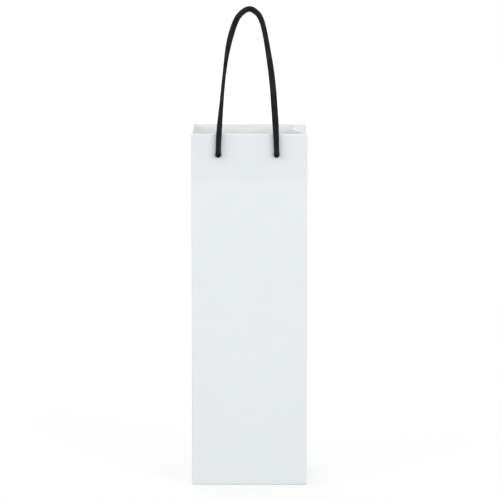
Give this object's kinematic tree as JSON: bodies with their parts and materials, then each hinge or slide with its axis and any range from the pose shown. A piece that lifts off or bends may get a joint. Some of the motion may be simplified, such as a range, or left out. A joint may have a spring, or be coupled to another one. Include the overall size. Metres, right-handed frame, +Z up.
{
  "type": "bottle carrier bag",
  "caption": "Tall narrow gusseted paper gift bag with a folded base and black cord handles, for carrying one upright bottle.",
  "frame": {"origin": "middle of the base, on the surface that the bag stands on", "axes": "+Z up along the bag's height, -Y out of the front panel, +X to the right seen from the front"},
  "size_m": [0.123, 0.1016, 0.5132],
  "materials": {
    "paper": "satin laminated white paper",
    "card": "uncoated grey card",
    "board": "white-lined board",
    "cord": "soft black braided cord"
  },
  "bodies": {
    "bag": {"front_panel": "paper", "front_handle_card": "card", "front_hem": "paper", "front_bottom_flap": "paper", "front_left_knot": "cord", "front_right_knot": "cord", "back_panel": "paper", "back_handle_card": "card", "back_hem": "paper", "back_bottom_flap": "paper", "back_left_knot": "cord", "back_right_knot": "cord", "left_gusset_front": "paper", "left_gusset_rear": "paper", "left_hem": "paper", "left_bottom_flap": "paper", "right_gusset_front": "paper", "right_gusset_rear": "paper", "right_hem": "paper", "right_bottom_flap": "paper", "seam_flap": "paper"},
    "front_handle": {"front_handle_cord": "cord"},
    "back_handle": {"back_handle_cord": "cord"},
    "loose_board": {"bottom_board": "board"}
  },
  "joints": [
    {"name": "front_handle_swing", "type": "hinge", "parent": "bag", "child": "front_handle", "pos_m": [-0.002, -0.04805, 0.358], "axis": [1, 0, 0], "range_deg": [0, 180]},
    {"name": "back_handle_swing", "type": "hinge", "parent": "bag", "child": "back_handle", "pos_m": [-0.002, 0.04805, 0.358], "axis": [1, 0, 0], "range_deg": [0, 180]},
    {"name": "bottom_board_lift", "type": "slide", "parent": "bag", "child": "loose_board", "axis": [0, 0, 1], "range_m": [0, 0.2]}
  ]
}
